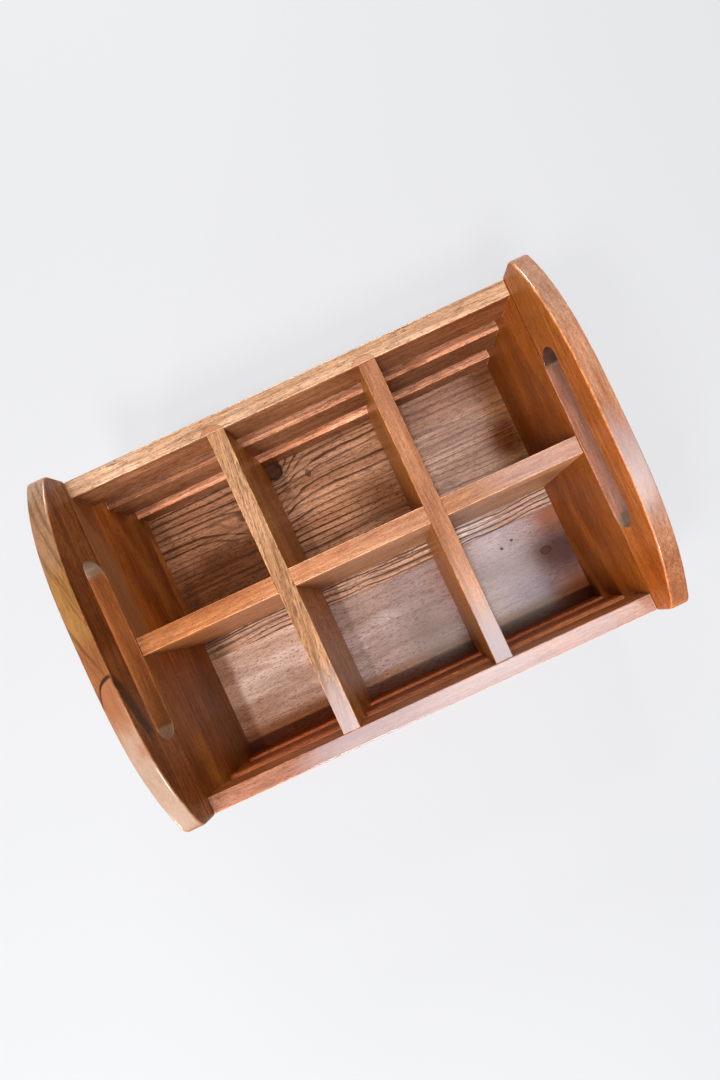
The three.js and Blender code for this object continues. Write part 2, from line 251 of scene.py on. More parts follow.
def bar(name, start, axis, reach, radius, flats=TONGUE_FLATS):
    """A round bar from a point along an axis, turned so that flats face the other two axes."""
    deselect()
    axis = Vector(axis)
    half_step = math.pi / flats
    turn = axis.to_track_quat("Z", "Y") @ Quaternion(UP, half_step)
    bpy.ops.mesh.primitive_cylinder_add(
        vertices=flats,
        radius=radius / math.cos(half_step),
        depth=reach,
        location=Vector(start) + axis * reach / 2,
        rotation=turn.to_euler(),
    )
    return settle(name)


def choose(piece, kind, test):
    """Enters edit mode with only those vertices, edges or faces selected that pass a test."""
    bpy.context.view_layer.objects.active = piece
    if bpy.context.mode != "EDIT_MESH":
        bpy.ops.object.mode_set(mode="EDIT")
    bpy.ops.mesh.select_mode(type=kind)
    bpy.ops.mesh.select_all(action="DESELECT")
    shape = bmesh.from_edit_mesh(piece.data)
    shape.normal_update()
    parts = {"VERT": shape.verts, "EDGE": shape.edges, "FACE": shape.faces}[kind]
    chosen = [part for part in parts if test(part)]
    if not chosen:
        raise RuntimeError(f"nothing to select on {piece.name}")
    for part in chosen:
        part.select_set(True)
    shape.select_flush_mode()
    bmesh.update_edit_mesh(piece.data)


def leave():
    bpy.ops.object.mode_set(mode="OBJECT")


def near(value, place, tolerance=1e-5):
    return abs(value - place) < tolerance


def lies_at(edge, height):
    """Whether both ends of an edge lie at a height."""
    return all(near(vertex.co.z, height) for vertex in edge.verts)


def run(edge, axis):
    """How far an edge runs along an axis."""
    return abs(edge.verts[0].co[axis] - edge.verts[1].co[axis])


def round_edges(piece, radius, segments, test):
    choose(piece, "EDGE", test)
    bpy.ops.mesh.bevel(offset=radius, segments=segments, affect="EDGES", clamp_overlap=False)
    leave()


def push_out(axis, reach):
    """Extrudes the selected faces along an axis."""
    offset = Vector()
    offset[axis] = reach
    bpy.ops.mesh.extrude_region_move(TRANSFORM_OT_translate={"value": offset})


def slice_through(piece, axis, place):
    """Cuts a line of edges right round a piece."""
    point, normal = Vector(), Vector()
    point[axis] = place
    normal[axis] = 1
    choose(piece, "FACE", lambda face: True)
    bpy.ops.mesh.bisect(plane_co=point, plane_no=normal)


def cut(piece, *cutters):
    """Takes the shapes of the cutters out of a piece."""
    for cutter in cutters:
        pick(piece)
        modifier = piece.modifiers.new("cut", "BOOLEAN")
        modifier.operation = "DIFFERENCE"
        modifier.solver = "EXACT"
        modifier.object = cutter
        bpy.ops.object.modifier_apply(modifier=modifier.name)
        bpy.data.objects.remove(cutter)


def stretch_apart(piece, axis, reach):
    """Pulls the two halves of a round bar apart along an axis, which leaves a bar with round ends."""
    for way in (-1, 1):
        choose(piece, "VERT", lambda vertex: vertex.co[axis] * way > 0)
        offset = Vector()
        offset[axis] = way * reach
        bpy.ops.transform.translate(value=offset)
    leave()


def finish_piece(piece, node, material):
    """Smooths the shading, gives the piece its finish and its body, and hides its solid."""
    pick(piece)
    piece.data.materials.clear()
    piece.data.materials.append(material)
    bpy.ops.object.shade_smooth_by_angle(angle=CORNER_TURN)
    weighting = piece.modifiers.new("even_faces", "WEIGHTED_NORMAL")
    weighting.keep_sharp = True
    bpy.ops.object.modifier_apply(modifier=weighting.name)
    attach(piece, "root")
    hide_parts(node)


def dowel_bore(dowel, axis):
    """Cutter for the blind bore of one dowel, with the joint's gap all round."""
    gap = sizes().joint_gap
    low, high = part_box(dowel)
    start = (low + high) / 2
    start[axis] = low[axis] - gap
    way = Vector()
    way[axis] = 1
    return bar("bore", start, way, high[axis] - low[axis] + 2 * gap, DOWEL_RADIUS + gap, BORE_FLATS)


def slat_dowel_bores(end, sides=SIDES, levels=LEVELS):
    return [dowel_bore(f"{end}_{side}_{level}_dowel", X) for level in levels for side in sides]


def handle_dowel_bores(end):
    return [dowel_bore(f"{end}_{side}_handle_dowel", Z) for side in SIDES]


def hand_slot():
    """The hand slot's end radius, half the length of its straight part and the height of its middle."""
    size = sizes()
    radius = size.slot_height / 2
    return radius, size.slot_length / 2 - radius, SEAM_Z - size.slot_skim + radius


def hand_slot_cutter(low_x, high_x):
    """The router's path through both boards of an end, with rounded mouths."""
    radius, straight, middle_z = hand_slot()
    mouth = sizes().slot_round
    start = (low_x + mouth, 0, middle_z)
    cutter = bar("hand_slot", start, (1, 0, 0), high_x - low_x - 2 * mouth, radius, SLOT_FLATS)
    stretch_apart(cutter, Y, straight)
    for way, face_x in ((-1, low_x), (1, high_x)):
        rings = []
        for degrees in MOUTH_TURNS:
            turn = math.radians(degrees)
            rings.append((face_x - way * mouth * (1 - math.sin(turn)), mouth * (1 - math.cos(turn))))
        rings.append((face_x + way * mouth, mouth))
        last_x = face_x - way * mouth
        for ring_x, _ in rings:
            choose(cutter, "FACE", lambda face: near(face.calc_center_median().x, last_x)
                   and abs(face.normal.x) > 0.9)
            push_out(X, ring_x - last_x)
            last_x = ring_x
        for ring_x, widening in rings:
            grow = (radius + widening) / radius
            for half in (-1, 1):
                choose(cutter, "VERT", lambda vertex: near(vertex.co.x, ring_x)
                       and vertex.co.y * half > 0)
                bpy.ops.transform.resize(
                    value=(1, grow, grow), center_override=(ring_x, half * straight, middle_z)
                )
    leave()
    return cutter


def floor_groove():
    """Cutter for the groove that the floor's tongue stands in."""
    size = sizes()
    gap = size.joint_gap
    return block("groove", (-TONGUE_X - gap, -TONGUE_Y - gap, size.tongue_bottom - gap),
                 (TONGUE_X + gap, TONGUE_Y + gap, size.tongue_top + gap))


# Node trees


class Drawing:
    """A node tree under construction, with short calls for the nodes that woods need."""

    def __init__(self, tree):
        self.tree = tree

    def node(self, kind, **settings):
        node = self.tree.nodes.new(kind)
        for name, value in settings.items():
            setattr(node, name, value)
        return node

    def put(self, value, socket):
        """Links a socket into another one, or sets the other one to a plain value."""
        if isinstance(value, bpy.types.NodeSocket):
            self.tree.links.new(value, socket)
        else:
            socket.default_value = value

    def math(self, operation, first, second=0.0, third=0.0, clamp=False):
        node = self.node("ShaderNodeMath", operation=operation, use_clamp=clamp)
        for value, socket in zip((first, second, third), node.inputs):
            self.put(value, socket)
        return node.outputs[0]

    def times(self, first, *others):
        for other in others:
            first = self.math("MULTIPLY", first, other)
        return first

    def plus(self, first, second):
        return self.math("ADD", first, second)

    def minus(self, first, second, clamp=False):
        return self.math("SUBTRACT", first, second, clamp=clamp)

    def scaled(self, value, factor, shift):
        """A value times a factor, plus a shift."""
        return self.math("MULTIPLY_ADD", value, factor, shift)

    def less(self, mask, share):
        """1, less a share of a mask."""
        return self.scaled(mask, -share, 1.0)

    def distance(self, along, across):
        return self.math("SQRT", self.scaled(along, along, self.times(across, across)))

    def vector(self, operation, first, second):
        node = self.node("ShaderNodeVectorMath", operation=operation)
        self.put(first, node.inputs[0])
        self.put(second, node.inputs[1])
        return node.outputs["Vector"]

    def parts(self, vector):
        node = self.node("ShaderNodeSeparateXYZ")
        self.put(vector, node.inputs[0])
        return node.outputs

    def join(self, x, y, z):
        node = self.node("ShaderNodeCombineXYZ")
        for value, socket in zip((x, y, z), node.inputs):
            self.put(value, socket)
        return node.outputs[0]

    def grey(self, value):
        return self.join(value, value, value)

    def noise(self, vector, frequency, detail=2.0, roughness=0.5):
        """Noise with its own number of waves per metre along each axis."""
        node = self.node("ShaderNodeTexNoise")
        self.put(self.vector("MULTIPLY", vector, frequency), node.inputs["Vector"])
        node.inputs["Scale"].default_value = 1.0
        node.inputs["Detail"].default_value = detail
        node.inputs["Roughness"].default_value = roughness
        return node.outputs["Fac"]

    def step(self, value, low, high):
        """A smooth step from 0 at low to 1 at high, which may be the lesser one."""
        node = self.node("ShaderNodeMapRange", interpolation_type="SMOOTHSTEP")
        self.put(value, node.inputs["Value"])
        node.inputs["From Min"].default_value = min(low, high)
        node.inputs["From Max"].default_value = max(low, high)
        if low > high:
            node.inputs["To Min"].default_value = 1.0
            node.inputs["To Max"].default_value = 0.0
        return node.outputs["Result"]

    def mix(self, factor, first, second, blend="MIX"):
        node = self.node("ShaderNodeMix", data_type="RGBA", blend_type=blend)
        self.put(factor, node.inputs[0])
        self.put(first, node.inputs[6])
        self.put(second, node.inputs[7])
        return node.outputs[2]

    def tinted(self, colour, light):
        """A colour multiplied by another one."""
        return self.mix(1.0, colour, light, "MULTIPLY")

    def group(self, name, **values):
        """A shared node group with its inputs, written with underscores for spaces."""
        node = self.node("ShaderNodeGroup", node_tree=shared_groups()[name])
        for socket, value in values.items():
            self.put(value, node.inputs[socket.replace("_", " ")])
        return node.outputs


SOCKETS = {"value": "NodeSocketFloat", "vector": "NodeSocketVector", "colour": "NodeSocketColor"}


def new_group(name, inputs, outputs):
    """An empty node group with its sockets, given as names with their kinds."""
    tree = bpy.data.node_groups.new(name, "ShaderNodeTree")
    for way, sockets in (("INPUT", inputs), ("OUTPUT", outputs)):
        for socket, kind in sockets.items():
            tree.interface.new_socket(name=socket, in_out=way, socket_type=SOCKETS[kind])
    draw = Drawing(tree)
    given = draw.node("NodeGroupInput").outputs
    result = draw.node("NodeGroupOutput").inputs
    return draw, given, result


def arris_group():
    """Where a surface turns a corner, for the worn edges of the boards and the highlight painted along them.
    """
    draw, given, result = new_group("worn_and_highlit_arris", {"Normal": "vector"}, {"Mask": "value"})
    x, y, z = (draw.times(part, part) for part in draw.parts(given["Normal"]))
    pairs = draw.scaled(x, z, draw.scaled(y, z, draw.times(x, y)))
    draw.put(draw.math("MULTIPLY", pairs, 4.0, clamp=True), result["Mask"])


def lines_group():
    """Growth lines along X, each with its own strength, that wander and part round knots."""
    draw, given, result = new_group(
        "growth_lines",
        {"Vector": "vector", "Rings": "value", "Wander": "value", "Bulge": "value"},
        {"Mask": "value"},
    )
    place = given["Vector"]
    parts = draw.parts(place)
    across = draw.scaled(parts[2], 0.8, parts[1])
    drift = draw.minus(draw.noise(place, (4, 17, 17)), 0.5)
    field = draw.scaled(across, given["Rings"], draw.scaled(drift, given["Wander"], given["Bulge"]))
    bunch = draw.noise(draw.join(0.0, across, 0.0), (0, 55, 0))
    field = draw.scaled(bunch, 2.2, field)
    ripple = draw.noise(place, (45, 200, 200))
    field = draw.scaled(ripple, 0.4, field)
    phase = draw.math("FRACT", field)
    line = draw.times(draw.step(phase, 0.58, 0.86), draw.step(phase, 1.0, 0.95))
    own = draw.node("ShaderNodeTexWhiteNoise", noise_dimensions="1D")
    draw.put(draw.math("FLOOR", field), own.inputs["W"])
    strength = draw.step(own.outputs["Value"], -0.1, 0.7)
    breaks = draw.step(draw.noise(place, (9, 160, 160)), 0.2, 0.44)
    draw.put(draw.times(line, strength, breaks), result["Mask"])


def grain_group():
    """Oiled wood whose grain runs along X: growth lines, veins, short streaks, fibres and open pores."""
    depths = ("Lines", "Vein Depth", "Streak Depth", "Pore Depth", "Fibre Depth")
    draw, given, result = new_group(
        "oiled_grain",
        {"Vector": "vector", "Body": "colour", "Grain": "colour", **dict.fromkeys(depths, "value")},
        {"Color": "colour", "Roughness": "value", "Height": "value"},
    )
    place = given["Vector"]
    vein = draw.step(draw.noise(place, (7, 420, 420), 3.0, 0.65), 0.50, 0.62)
    clusters = draw.step(draw.noise(place, (16, 75, 75)), 0.34, 0.60)
    streak = draw.step(draw.noise(place, (95, 640, 640), 2.0, 0.55), 0.53, 0.61)
    streak = draw.times(streak, clusters)
    pore = draw.step(draw.noise(place, (260, 1500, 1500), 1.0), 0.58, 0.66)
    broad = draw.step(draw.noise(place, (9, 60, 60), 4.0, 0.6), 0.34, 0.64)
    fibre = draw.noise(place, (60, 1300, 1300), 3.0, 0.7)
    grit = draw.noise(place, (900, 1500, 1500), 2.0, 0.6)
    pale = draw.vector("MULTIPLY", given["Body"], (1.2, 1.22, 1.24))
    deep = draw.vector("MULTIPLY", given["Body"], (0.78, 0.70, 0.62))
    colour = draw.mix(broad, deep, pale)
    for mask, depth in ((vein, given["Vein Depth"]), (streak, given["Streak Depth"]),
                        (given["Lines"], 1.0), (pore, given["Pore Depth"])):
        colour = draw.mix(draw.times(mask, depth), colour, given["Grain"])
    light = draw.times(draw.minus(fibre, 0.5), given["Fibre Depth"])
    light = draw.plus(light, draw.plus(grit, 0.5))
    roughness = draw.scaled(streak, 0.10, 0.36)
    roughness = draw.scaled(pore, 0.12, roughness)
    roughness = draw.scaled(broad, 0.06, roughness)
    height = fibre
    for mask, depth in ((pore, 0.7), (streak, 0.4), (given["Lines"], 0.6)):
        height = draw.scaled(mask, -depth, height)
    draw.put(draw.tinted(colour, draw.grey(light)), result["Color"])
    draw.put(roughness, result["Roughness"])
    draw.put(height, result["Height"])


def rub_and_highlight_group():
    """Wood rubbed pale on the worn edges, which also paints in the highlight that the edges catch."""
    draw, given, result = new_group(
        "rubbed_and_highlit_edges",
        {"Vector": "vector", "Color": "colour", "Arris": "value"},
        {"Color": "colour"},
    )
    rubbed_and_highlit = draw.vector("MULTIPLY", given["Color"], (1.6, 1.65, 1.7))
    rubbed_and_highlit = draw.vector("ADD", rubbed_and_highlit, (0.06, 0.05, 0.035))
    scuffs = draw.noise(given["Vector"], (220, 220, 220), 3.0, 0.6)
    rub_and_highlight = draw.times(given["Arris"], draw.step(scuffs, 0.3, 0.7))
    draw.put(draw.mix(rub_and_highlight, given["Color"], rubbed_and_highlit), result["Color"])


def knot_group():
    """A knot: how far it pushes the growth lines aside, its reddish heart and its dark rim."""
    draw, given, result = new_group(
        "knot",
        {"Vector": "vector", "Centre": "vector", "Length": "value", "Width": "value"},
        {"Bulge": "value", "Heart": "value", "Rim": "value"},
    )
    wobble = draw.minus(draw.noise(given["Vector"], (150, 150, 150), 3.0, 0.6), 0.5)
    away = draw.parts(draw.vector("SUBTRACT", given["Vector"], given["Centre"]))
    along = draw.math("DIVIDE", away[0], given["Length"])
    across = draw.math("DIVIDE", away[1], given["Width"])
    squared = draw.scaled(along, along, draw.times(across, across))
    ragged = draw.scaled(wobble, 1.6, squared)
    heart = draw.step(ragged, 1.25, 0.75)
    draw.put(draw.math("EXPONENT", draw.times(squared, -0.3)), result["Bulge"])
    draw.put(heart, result["Heart"])
    draw.put(draw.minus(heart, draw.step(ragged, 0.85, 0.35), clamp=True), result["Rim"])


def shared_groups():
    """The shared node groups, built once."""
    if "oiled_grain" not in bpy.data.node_groups:
        for build in (arris_group, lines_group, grain_group, rub_and_highlight_group, knot_group):
            build()
    return bpy.data.node_groups


def shade(name):
    """A colour of the scene as a socket takes it."""
    return (*getattr(colours(), name), 1.0)


# Woods


@dataclass
class Look:
    """How strongly the parts of the grain show on a board, and how the grain lies."""

    rings: float = 150.0
    wander: float = 4.0
    ring: float = 0.3
    vein: float = 0.3
    streak: float = 0.4
    pore: float = 0.4
    fibre: float = 1.5
    slant: float = 0.0
    coat: float = 1.0
    arched: bool = False


@dataclass
class Knot:
    """A knot of a floor board: its middle, half length and half width in millimetres, how many growth
    lines it pushes aside, and how strongly it shows."""

    x: float
    y: float
    half_length: float
    half_width: float
    push: float
    depth: float = 0.9


class Surface(Drawing):
    """The wood of a board while its tones are laid on: its places, the ways it faces and its colour."""

    def __init__(self, tree):
        super().__init__(tree)
        self.place = self.node("ShaderNodeTexCoord").outputs["Object"]
        self.x, self.y, self.z = self.parts(self.place)
        self.normal = self.node("ShaderNodeNewGeometry").outputs["Normal"]
        self.facing_x, self.facing_y, self.facing_z = self.parts(self.normal)
        self.upward = self.step(self.facing_z, 0.55, 0.9)
        self.colour = None

    def ramp(self, value, low, high):
        """A smooth step between two places in millimetres."""
        return self.step(value, low * MM, high * MM)

    def speckle(self, frequency, detail=3.0, roughness=0.6):
        return self.noise(self.place, frequency, detail, roughness)

    def cloud(self, frequency, reach, detail=3.0, roughness=0.6):
        """Noise that sways either way by half its reach."""
        return self.scaled(self.speckle(frequency, detail, roughness), reach, -reach / 2)

    def spot(self, x, y, half_length, half_width, cloud):
        """A soft, ragged patch round a place, in millimetres."""
        along = self.scaled(self.x, 1 / (half_length * MM), -x / half_length)
        across = self.scaled(self.y, 1 / (half_width * MM), -y / half_width)
        return self.step(self.plus(self.distance(along, across), cloud), 1.1, 0.2)

    def cells(self):
        """The left, the middle and the right cells."""
        left = self.step(self.x, -CROSS_NEAR, -CROSS_FAR)
        right = self.step(self.x, CROSS_NEAR, CROSS_FAR)
        return left, self.minus(self.minus(1.0, left), right), right

    def back_row(self):
        """The cells behind the long divider."""
        return self.step(self.y, -LONG_HALF, LONG_HALF)

    def stained_or_lit(self, stain_or_light):
        """The colour so far multiplied by a stain, or by painted light or shade."""
        return self.tinted(self.colour, (*stain_or_light, 1.0))

    def paint(self, mask, colour):
        self.colour = self.mix(mask, self.colour, colour)

    # Multiplies the colour under a mask: a stain of the wood, or painted light or shade.
    def stain_or_light(self, mask, stain_or_light):
        self.paint(mask, self.stained_or_lit(stain_or_light))

    def painted_sheen(self, mask):
        """A painted sheen on the faces that look up: a pale bluish tint that stands in for the reflection of
        the light.
        """
        self.paint(self.times(mask, self.upward), self.mix(0.25, shade("painted_sheen"), self.colour))


def place_in_log(face, along, cut_from, slant):
    """Where a place of the board lay in the log, whose grain runs along X."""
    mapping = face.node("ShaderNodeMapping")
    face.put(face.place, mapping.inputs["Vector"])
    mapping.inputs["Location"].default_value = LOG_STEP * cut_from
    turn = 0.0 if along == "x" else -math.pi / 2
    mapping.inputs["Rotation"].default_value = (0, 0, turn + math.radians(slant))
    return mapping.outputs[0]


def worn_and_highlit_edges(face, arched):
    """The worn edges of a board, which also carry a painted highlight. On an arched one the slope of the arch
    itself is no edge.
    """
    turned = face.normal
    if arched:
        flatness = face.math("SQRT", face.less(face.times(face.facing_x, face.facing_x), 1.0))
        turned = face.join(face.facing_x, 0.0, flatness)
    return face.group("worn_and_highlit_arris", Normal=turned)["Mask"]


def knot_marks(face, knots):
    """The marks of the knots with their depths, and how far the knots push the growth lines aside."""
    bulge = 0.0
    marks = []
    for knot in knots:
        mark = face.group("knot", Vector=face.place, Centre=(knot.x * MM, knot.y * MM, FLOOR_TOP),
                          Length=knot.half_length * MM, Width=knot.half_width * MM)
        bulge = face.scaled(mark["Bulge"], knot.push, bulge)
        marks.append((mark, knot.depth))
    return marks, bulge


def wood(name, palette, along, cut_from, look, tones=None, knots=(), top=None, calm=None):
    """A board's own wood: its palette, the way its grain runs and where it was cut from the log."""
    material = bpy.data.materials.new(name)
    material.use_nodes = True
    shader = material.node_tree.nodes["Principled BSDF"]
    face = Surface(material.node_tree)
    grown = place_in_log(face, along, cut_from, look.slant)
    arris = worn_and_highlit_edges(face, look.arched)
    # The faces that look up take the lit copy of the body: painted light and sheen.
    level = face.step(face.facing_z, 0.55, 0.97)
    marks, bulge = knot_marks(face, knots)
    lines = face.group("growth_lines", Vector=grown, Rings=look.rings, Wander=look.wander,
                       Bulge=bulge)["Mask"]
    if calm:
        lines = face.times(lines, calm(face))
    grain = face.group(
        "oiled_grain",
        Vector=grown,
        Body=face.mix(level, shade(palette), shade(top or f"{palette}_top")),
        Grain=shade(f"{palette}_grain"),
        Lines=face.times(lines, look.ring),
        Vein_Depth=look.vein,
        Streak_Depth=look.streak,
        Pore_Depth=look.pore,
        Fibre_Depth=look.fibre,
    )
    # Pale worn edges, partly wear and partly a painted highlight along them.
    rubbed_and_highlit = face.group("rubbed_and_highlit_edges", Vector=face.place, Color=grain["Color"], Arris=arris)
    face.colour = rubbed_and_highlit["Color"]
    if tones:
        tones(face)
    for mark, depth in marks:
        face.paint(face.times(mark["Heart"], depth), shade("knot"))
        face.paint(face.times(mark["Rim"], depth), face.tinted(shade("knot"), (0.4, 0.35, 0.35, 1.0)))
    face.put(face.colour, shader.inputs["Base Color"])
    face.put(grain["Roughness"], shader.inputs["Roughness"])
    bump = face.node("ShaderNodeBump")
    bump.inputs["Strength"].default_value = 0.3
    bump.inputs["Distance"].default_value = 0.2 * MM
    face.put(grain["Height"], bump.inputs["Height"])
    face.put(bump.outputs["Normal"], shader.inputs["Normal"])
    coat = face.scaled(level, 0.85 * look.coat, 0.15 * look.coat)
    face.put(face.times(coat, face.less(arris, 0.7)), shader.inputs["Coat Weight"])
    shader.inputs["Coat Roughness"].default_value = 0.2
    shader.inputs["Coat IOR"].default_value = 1.9
    shader.inputs["Specular IOR Level"].default_value = 0.22
    return material


# Tones of the boards, with places in millimetres, and stains or painted light and shade as shares of red,
# green and blue


def glued_ends(face):
    """A thin line of dried glue where a slat meets the end boards."""
    line = face.step(face.math("ABSOLUTE", face.x), INNER_X - 0.9 * MM, INNER_X - 0.3 * MM)
    breaks = face.step(face.speckle((240, 240, 240)), 0.4, 0.6)
    face.paint(face.times(line, breaks), shade("glue"))


def half_moons(face):
    """Filler with a dark rim behind each cross divider, on the top of the back wall."""
    filler = face.mix(face.speckle((700, 700, 700), 3.0, 0.7), shade("filler"), shade("filler_pale"))
    beside = face.minus(face.math("ABSOLUTE", face.plus(face.x, 2 * MM)), CROSS_X)
    behind = face.minus(face.y, INNER_Y - 4.2 * MM)
    away = face.scaled(face.speckle((250, 250, 250)), 1.0 * MM, face.distance(beside, behind))
    on_top = face.step(face.z, WALL_TOP - 1.4 * MM, WALL_TOP - 0.8 * MM)
    fainter_right = face.less(face.ramp(face.x, 0, 1), 0.45)
    face.paint(face.times(face.ramp(away, 9.6, 9.2), fainter_right, on_top), filler)
    rim = face.times(face.ramp(away, 10.2, 9.6), face.ramp(away, 9.0, 9.5))
    face.paint(face.times(rim, on_top, 0.4), shade("back_slat_grain"))


def back_slat_tones(face, level):
    """A back slat: filler on the top one, painted shade on the inner faces, painted shade in the left corner
    of the middle one's ledge, painted light on the left of the bottom one's ledge, and glue at the ends.
    """
    inside = face.step(face.facing_y, -0.5, -0.9)
    if level == "top":
        half_moons(face)
        # Painted shade on the inner face, deeper towards the right.
        face.stain_or_light(face.times(inside, face.ramp(face.x, -10, 60)), (0.6, 0.47, 0.37))
    else:
        rightward = face.scaled(face.ramp(face.x, -40, 60), 0.7, 0.3)
        # Painted shade on the inner faces of the lower slats.
        face.stain_or_light(face.times(inside, rightward), (0.6, 0.52, 0.46))
    if level == "middle":
        # Painted shade in the left corner of the ledge.
        left_corner = face.ramp(face.x, -46, -60)
        face.stain_or_light(face.times(face.upward, left_corner), (0.55, 0.5, 0.44))
    if level == "bottom":
        # Painted light on the left of the bottom ledge.
        paler_left = face.ramp(face.x, 80, 20)
        face.stain_or_light(face.times(face.upward, paler_left), (1.5, 1.5, 1.5))
    glued_ends(face)


def front_slat_tones(face, level):
    """A front slat: reddish at the left; the top one with painted shade on its inner face and a painted sheen
    along its middle.
    """
    x = face.plus(face.x, face.cloud((18, 60, 60), 60 * MM))
    reddish = face.ramp(x, 20, -60)
    face.stain_or_light(reddish, (0.95, 0.8, 0.7))
    if level == "top":
        # Painted shade on the inner face.
        inside = face.step(face.facing_y, 0.5, 0.9)
        face.stain_or_light(inside, (0.52, 0.46, 0.38))
        # Painted sheen along the middle of the top.
        middle = face.times(face.ramp(x, -100, -50), face.ramp(x, 165, 120))
        fainter_right = face.less(face.ramp(x, 55, 90), 0.35)
        face.painted_sheen(face.times(middle, fainter_right, 0.8))
    glued_ends(face)


def cross_divider_tones(face, end):
    """A cross divider: a painted sheen towards its front end, where the right one is darker."""
    front = face.ramp(face.plus(face.y, face.cloud((60, 25, 60), 30 * MM)), -50, -92)
    # Painted sheen on the top of the front end.
    face.painted_sheen(face.times(front, 0.9))
    if end == "right":
        face.stain_or_light(front, (0.7, 0.74, 0.82))


def long_divider_tones(face):
    """The long divider: orange at the left; paler, bluer wood with a painted sheen at the right."""
    orange, pale_wood_and_sheen = face.stained_or_lit((1.0, 0.9, 0.75)), face.stained_or_lit((0.98, 1.12, 1.4))
    face.colour = face.mix(face.ramp(face.x, -120, 60), orange, pale_wood_and_sheen)
    # Painted sheen on the top at the right.
    face.painted_sheen(face.times(face.ramp(face.x, 65, 115), 0.38))


def smoke(face):
    """The smoky, smoother places of the back floor board: its left cell, and two spots further right."""
    cloud = face.cloud((16, 40, 40), 1.0, 4.0)
    height = face.scaled(cloud, 50 * MM, face.scaled(face.x, -0.25, face.y))
    mask = face.times(face.cells()[0], face.ramp(height, 100, 72))
    for x, y, half_length, half_width in ((36, 32, 40, 44), (139, 42, 20, 20)):
        mask = face.math("MAXIMUM", mask, face.spot(x, y, half_length, half_width, cloud))
    return face.times(mask, face.back_row())


def calm_smoke(face):
    """The growth lines are faint in the smoky places and in the right cells."""
    return face.times(face.less(smoke(face), 0.8), face.less(face.ramp(face.x, 50, 62), 0.45))


def seam_lines(face):
    """Crisp growth lines along the floor's seam."""
    sway = face.times(face.speckle((14, 30, 30), 3.0, 0.5), 3.0)
    phase = face.math("FRACT", face.scaled(face.y, 260.0, sway))
    line = face.times(face.step(phase, 0.55, 0.8), face.step(phase, 1.0, 0.9))
    breaks = face.step(face.speckle((20, 90, 90), 2.0, 0.5), 0.3, 0.5)
    face.paint(face.times(line, face.ramp(face.y, 0, -5), breaks, 0.85), shade("back_floor_grain"))


def back_floor_tones(face):
    """The back floor board: smoky at the left, a painted sheen in the right cells, a painted shadow of the
    left end board at its front left, and crisp lines along its seam.
    """
    x, y = face.x, face.y
    left, middle, right = face.cells()
    back_row = face.back_row()
    cloud = face.cloud((22, 22, 22), 0.8, 4.0)
    face.stain_or_light(face.times(left, back_row), (0.64, 0.5, 0.38))
    face.stain_or_light(face.times(middle, back_row), (0.85, 0.74, 0.64))
    face.stain_or_light(right, (1.14, 1.14, 1.1))
    smoked = face.stained_or_lit((0.44, 0.32, 0.22))
    # Painted sheen in the right cells.
    face.painted_sheen(face.times(face.ramp(x, 45, 85), 0.3))
    face.stain_or_light(face.spot(-6, 46, 40, 40, cloud), (1.25, 1.18, 1.08))
    face.paint(smoke(face), smoked)
    # A bluish painted sheen near the seam in the front right cell.
    face.stain_or_light(face.spot(78, -12, 28, 18, cloud), (1.6, 2.0, 2.4))
    # Painted shadow of the left end board in the front left cell.
    left_corner = face.times(face.ramp(x, -122, -138), face.less(back_row, 1.0))
    face.stain_or_light(left_corner, (0.62, 0.58, 0.5))
    by_back_wall = face.times(right, face.ramp(y, 58, 90))
    face.stain_or_light(by_back_wall, (0.62, 0.53, 0.49))
    by_right_end = face.times(face.ramp(face.scaled(cloud, 24 * MM, x), 110, 144), back_row)
    face.stain_or_light(by_right_end, (0.42, 0.28, 0.16))
    seam_lines(face)


def front_floor_tones(face):
    """The front floor board: pale at the left, brown in the middle, a painted sheen at the right, and painted
    shadows of the left end board and of the front wall.
    """
    x, y = face.x, face.y
    left = face.cells()[0]
    cloud = face.cloud((22, 22, 22), 0.8, 4.0)
    drift = face.times(cloud, 30 * MM)
    face.stain_or_light(face.ramp(face.plus(x, drift), 25, -15), (1.47, 1.49, 1.4))
    face.stain_or_light(left, (1.24, 1.18, 1.04))
    left_corner = face.times(left, face.ramp(face.plus(y, drift), -64, -90))
    face.stain_or_light(left_corner, (0.74, 0.58, 0.47))
    face.stain_or_light(face.spot(23, -62, 30, 34, cloud), (0.58, 0.45, 0.38))
    # Painted sheen at the right.
    face.painted_sheen(face.times(face.spot(97, -48, 46, 54, cloud), 0.65))
    face.stain_or_light(face.spot(44, -41, 24, 24, cloud), (0.76, 0.63, 0.54))
    # Painted sheen near the seam in the right cell.
    face.stain_or_light(face.spot(80, -25, 28, 20, cloud), (1.4, 1.45, 1.45))
    face.stain_or_light(face.spot(112, -80, 34, 26, cloud), (0.64, 0.64, 0.84))
    # Painted shadow of the left end board.
    by_left_end = face.ramp(x, -134, -142)
    face.stain_or_light(by_left_end, (0.74, 0.6, 0.48))
    for patch, name in (((147, -27, 30, 26), "floor_plum"), ((150, -88, 34, 26), "floor_plum"),
                        ((141, -57, 40, 29), "floor_dark")):
        face.paint(face.times(face.spot(*patch, cloud), 0.9), shade(name))
    # Painted shadow of the front wall along the front of the board.
    by_front_wall = face.ramp(y, -81, -90)
    face.stain_or_light(by_front_wall, (0.57, 0.38, 0.23))


